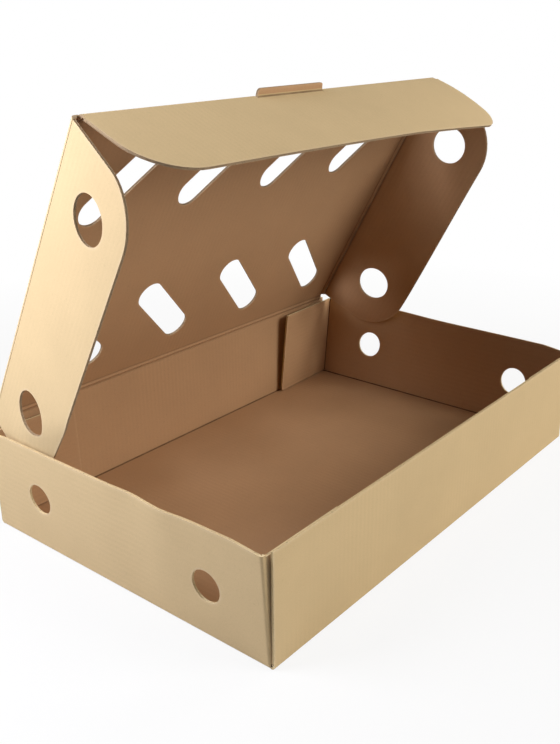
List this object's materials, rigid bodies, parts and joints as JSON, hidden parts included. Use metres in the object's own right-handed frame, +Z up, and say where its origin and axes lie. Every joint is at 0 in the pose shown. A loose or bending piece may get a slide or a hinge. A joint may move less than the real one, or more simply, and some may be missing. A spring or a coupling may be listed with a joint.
{
  "type": "cardboard tray box",
  "caption": "Shallow die-cut corrugated board tray with an attached hinged lid, tuck-in side flaps, a front flap with a pull tab, round end vents and slanted lid slots.",
  "frame": {"origin": "middle of the underside of the base, on the surface that the tray stands on", "axes": "+X along the front wall to the right as seen from the front, +Y from the front wall to the hinge at the rear, +Z up"},
  "size_m": [0.6442, 0.4002, 0.4659],
  "materials": {
    "tray_board": "matt kraft liner with faint flute lines",
    "lid_board": "matt kraft liner with faint flute lines",
    "flap_board": "matt kraft liner with faint flute lines"
  },
  "bodies": {
    "tray": {"tray": "tray_board"},
    "lid": {"lid_panel": "lid_board"},
    "front_flap": {"front_flap": "flap_board"},
    "left_flap": {"left_flap": "flap_board"},
    "right_flap": {"right_flap": "flap_board"}
  },
  "joints": [
    {"name": "lid_hinge", "type": "hinge", "parent": "tray", "child": "lid", "pos_m": [0, 0.1985, 0.126], "axis": [-1, 0, 0], "range_deg": [-61, 119]},
    {"name": "front_flap_hinge", "type": "hinge", "parent": "lid", "child": "front_flap", "pos_m": [0, 0.01332, 0.45286], "axis": [1, 0, 0], "range_deg": [0, 85]},
    {"name": "left_flap_hinge", "type": "hinge", "parent": "lid", "child": "left_flap", "pos_m": [-0.294, 0.19544, 0.1243], "axis": [0, 0.4848, -0.8746], "range_deg": [-11, 21]},
    {"name": "right_flap_hinge", "type": "hinge", "parent": "lid", "child": "right_flap", "pos_m": [0.294, 0.19544, 0.1243], "axis": [0, -0.4848, 0.8746], "range_deg": [-11, 21]}
  ],
  "couplings": [
    {"joint": "left_flap_hinge", "follows": "lid_hinge", "ratio": 0.17213},
    {"joint": "right_flap_hinge", "follows": "lid_hinge", "ratio": 0.17213}
  ]
}
